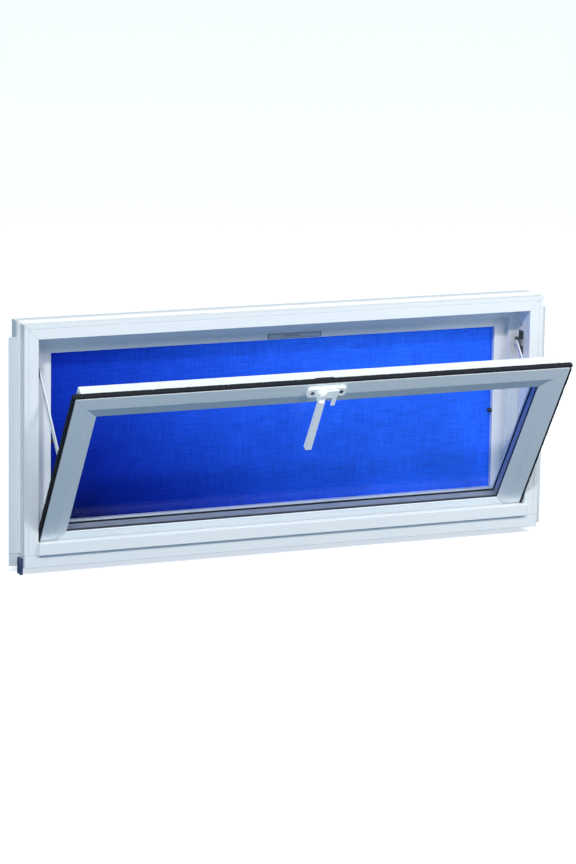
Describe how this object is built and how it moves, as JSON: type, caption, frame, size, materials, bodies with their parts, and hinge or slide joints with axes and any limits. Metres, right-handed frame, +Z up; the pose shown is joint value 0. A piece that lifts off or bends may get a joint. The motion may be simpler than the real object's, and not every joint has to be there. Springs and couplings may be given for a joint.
{
  "type": "hopper window with cam handle",
  "caption": "White vinyl basement hopper window: fixed frame with insect screen, glazed sash tilting in on bottom pivots with stay arms, cam lock handle.",
  "frame": {"origin": "middle of the sill's underside, half-way through the frame's depth", "axes": "+X along the window, +Y through the wall to the outside, +Z up; the room is at -Y"},
  "size_m": [0.837, 0.2071, 0.3623],
  "materials": {
    "clip": "satin",
    "frame_vinyl": "smooth white vinyl",
    "glass": "clear",
    "handle_metal": "white powder coat",
    "label": "satin",
    "lip_seal": "matt",
    "nylon": "satin",
    "pile": "fuzzy pile",
    "plunger": "satin black",
    "sash_vinyl": "smooth white vinyl",
    "screen_cloth": "open woven insect mesh",
    "screen_frame": "white painted roll-formed bar",
    "screen_spline": "matt",
    "seal": "matt",
    "spacer": "dark satin",
    "stay_metal": "white painted",
    "steel": "zinc plated"
  },
  "bodies": {
    "frame": {"head": "frame_vinyl", "keeper": "steel", "keeper_screws": "steel", "left_end_clip": "clip", "left_jamb": "frame_vinyl", "left_nail_fin": "frame_vinyl", "left_pivot_bush": "nylon", "left_plunger_spring": "steel", "left_sill_end_cap": "frame_vinyl", "left_stay_bracket": "steel", "right_jamb": "frame_vinyl", "right_nail_fin": "frame_vinyl", "right_pivot_bush": "nylon", "right_plunger_spring": "steel", "right_sill_end_cap": "frame_vinyl", "right_stay_bracket": "steel", "screen_bottom_bar": "screen_frame", "screen_cloth": "screen_cloth", "screen_corner_keys": "screen_frame", "screen_label_plate": "label", "screen_left_bar": "screen_frame", "screen_right_bar": "screen_frame", "screen_spline": "screen_spline", "screen_top_bar": "screen_frame", "sill": "frame_vinyl", "sill_lip_seal": "lip_seal", "sill_riser": "frame_vinyl", "stay_bracket_screws": "steel"},
    "sash": {"sash_top_rail": "sash_vinyl", "sash_bottom_rail": "sash_vinyl", "left_stile": "sash_vinyl", "right_stile": "sash_vinyl", "top_glazing_bead": "sash_vinyl", "bottom_glazing_bead": "sash_vinyl", "left_glazing_bead": "sash_vinyl", "right_glazing_bead": "sash_vinyl", "inner_pane": "glass", "outer_pane": "glass", "glass_spacer": "spacer", "bead_gasket": "seal", "glazing_tape": "seal", "setting_blocks": "seal", "sash_pile": "pile", "left_pivot_pin": "steel", "right_pivot_pin": "steel", "left_stay_track": "steel", "right_stay_track": "steel", "handle_base": "handle_metal", "handle_base_screws": "steel", "handle_pivot_screw": "handle_metal"},
    "handle": {"handle_lever": "handle_metal", "handle_hook": "handle_metal"},
    "left_shoe": {"left_stay_shoe": "nylon"},
    "right_shoe": {"right_stay_shoe": "nylon"},
    "left_arm": {"left_stay_arm": "stay_metal"},
    "right_arm": {"right_stay_arm": "stay_metal"},
    "left_screen_plunger": {"left_plunger": "plunger"},
    "right_screen_plunger": {"right_plunger": "plunger"}
  },
  "joints": [
    {"name": "sash_tilt", "type": "hinge", "parent": "frame", "child": "sash", "pos_m": [0, -0.0039, 0.0363], "axis": [1, 0, 0], "range_deg": [-33, 0]},
    {"name": "handle_turn", "type": "hinge", "parent": "sash", "child": "handle", "pos_m": [-0.0126, -0.1649, 0.25851], "axis": [0, -0.8387, -0.5446], "range_deg": [0, 90]},
    {"name": "left_stay_slide", "type": "slide", "parent": "sash", "child": "left_shoe", "axis": [0, -0.5446, 0.8387], "range_m": [-0.057, 0]},
    {"name": "left_stay_swing", "type": "hinge", "parent": "left_shoe", "child": "left_arm", "pos_m": [-0.3728, -0.09104, 0.17049], "axis": [1, 0, 0], "range_deg": [0, 72.3]},
    {"name": "left_plunger_slide", "type": "slide", "parent": "frame", "child": "left_screen_plunger", "axis": [1, 0, 0], "range_m": [0, 0.006], "stiffness_N_per_m": 400, "springref_m": -0.002, "deforming": ["left_plunger_spring"]},
    {"name": "right_stay_slide", "type": "slide", "parent": "sash", "child": "right_shoe", "axis": [0, -0.5446, 0.8387], "range_m": [-0.057, 0]},
    {"name": "right_stay_swing", "type": "hinge", "parent": "right_shoe", "child": "right_arm", "pos_m": [0.3728, -0.09104, 0.17049], "axis": [1, 0, 0], "range_deg": [0, 72.3]},
    {"name": "right_plunger_slide", "type": "slide", "parent": "frame", "child": "right_screen_plunger", "axis": [-1, 0, 0], "range_m": [0, 0.006], "stiffness_N_per_m": 400, "springref_m": -0.002, "deforming": ["right_plunger_spring"]}
  ],
  "couplings": [
    {"joint": "left_stay_slide", "follows": "sash_tilt", "m_per_rad": 0.098823},
    {"joint": "left_stay_swing", "follows": "sash_tilt", "ratio": -2.1905},
    {"joint": "right_stay_slide", "follows": "sash_tilt", "m_per_rad": 0.098823},
    {"joint": "right_stay_swing", "follows": "sash_tilt", "ratio": -2.1905}
  ]
}
